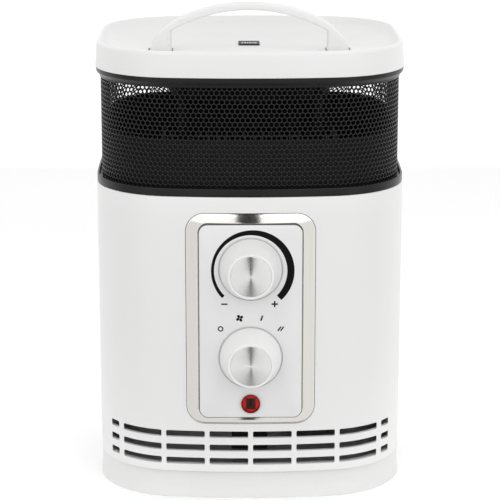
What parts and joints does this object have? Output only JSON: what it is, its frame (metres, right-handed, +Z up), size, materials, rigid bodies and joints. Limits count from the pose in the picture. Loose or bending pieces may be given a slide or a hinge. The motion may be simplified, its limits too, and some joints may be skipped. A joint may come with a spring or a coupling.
{
  "type": "ceramic space heater",
  "caption": "Upright table-top ceramic fan heater: a rounded tower with an all-round mesh outlet, a dished top with an arch handle, and a front control panel with knobs.",
  "frame": {"origin": "on the floor, on the housing's own vertical axis, at the centre of its plinth", "axes": "+Z up, -Y towards the control panel, +X to the right as seen from the front"},
  "size_m": [0.2106, 0.2096, 0.327],
  "materials": {
    "white_plastic": "satin gloss moulded",
    "black_trim": "gloss",
    "black_mesh": "satin black paint",
    "grey_plastic": "matte",
    "black_plastic": "matte",
    "rubber": "matte",
    "steel": "zinc plated",
    "sheet_metal": "galvanised",
    "aluminium": "mill",
    "spun_aluminium": "spun",
    "chrome": "warm satin chrome plated",
    "ceramic": "unglazed",
    "red_lens": "clear red",
    "lamp_dark": "matte"
  },
  "bodies": {
    "housing": {"base_plinth": "white_plastic", "base_plate": "grey_plastic", "rubber_feet": "rubber", "base_screws": "steel", "tip_switch_body": "black_plastic", "terminal_block": "grey_plastic", "front_housing": "white_plastic", "rear_housing": "white_plastic", "housing_screws": "steel", "cord_gland": "black_plastic", "fan_deck": "sheet_metal", "fan_duct": "black_plastic", "fan_motor": "sheet_metal", "motor_bracket": "black_plastic", "ptc_frame": "black_plastic", "ptc_ceramic_bars": "ceramic", "ptc_fins": "aluminium", "thermal_cutout": "black_plastic", "thermal_fuse": "ceramic", "lower_trim_ring": "black_trim", "grille_mesh": "black_mesh", "heat_skirt": "black_mesh", "cage_posts": "steel", "upper_trim_ring": "black_trim", "cap_heat_shield": "black_mesh", "air_deflector": "black_mesh", "top_cap": "white_plastic", "carry_handle": "white_plastic", "handle_screws": "steel", "name_tag": "black_plastic", "panel_bezel": "chrome", "control_panel": "white_plastic", "switch_bracket": "sheet_metal", "bracket_screws": "steel", "spindle_nuts": "steel", "thermostat_body": "ceramic", "mode_switch_body": "black_plastic", "lamp_lens": "red_lens", "lamp_bulb": "lamp_dark"},
    "fan": {"fan_impeller": "black_plastic", "motor_shaft": "steel"},
    "thermostat_dial": {"thermostat_knob": "white_plastic", "thermostat_knob_disc": "spun_aluminium", "thermostat_spindle": "steel"},
    "mode_dial": {"mode_knob": "white_plastic", "mode_knob_disc": "spun_aluminium", "mode_spindle": "steel"},
    "tip_plunger": {"tip_switch_plunger": "grey_plastic"}
  },
  "joints": [
    {"name": "thermostat_knob_turn", "type": "hinge", "parent": "housing", "child": "thermostat_dial", "pos_m": [0, -0.0944, 0.1623], "axis": [0, 1, 0], "range_deg": [0, 269]},
    {"name": "mode_knob_turn", "type": "hinge", "parent": "housing", "child": "mode_dial", "pos_m": [0, -0.0944, 0.1012], "axis": [0, 1, 0], "range_deg": [0, 90]},
    {"name": "fan_spin", "type": "hinge", "parent": "housing", "child": "fan", "pos_m": [0, 0, 0.168], "axis": [0, 0, 1], "continuous": true},
    {"name": "tip_plunger_drop", "type": "slide", "parent": "housing", "child": "tip_plunger", "axis": [0, 0, -1], "range_m": [0, 0.0036], "stiffness_N_per_m": 60, "springref_m": 0.006}
  ]
}
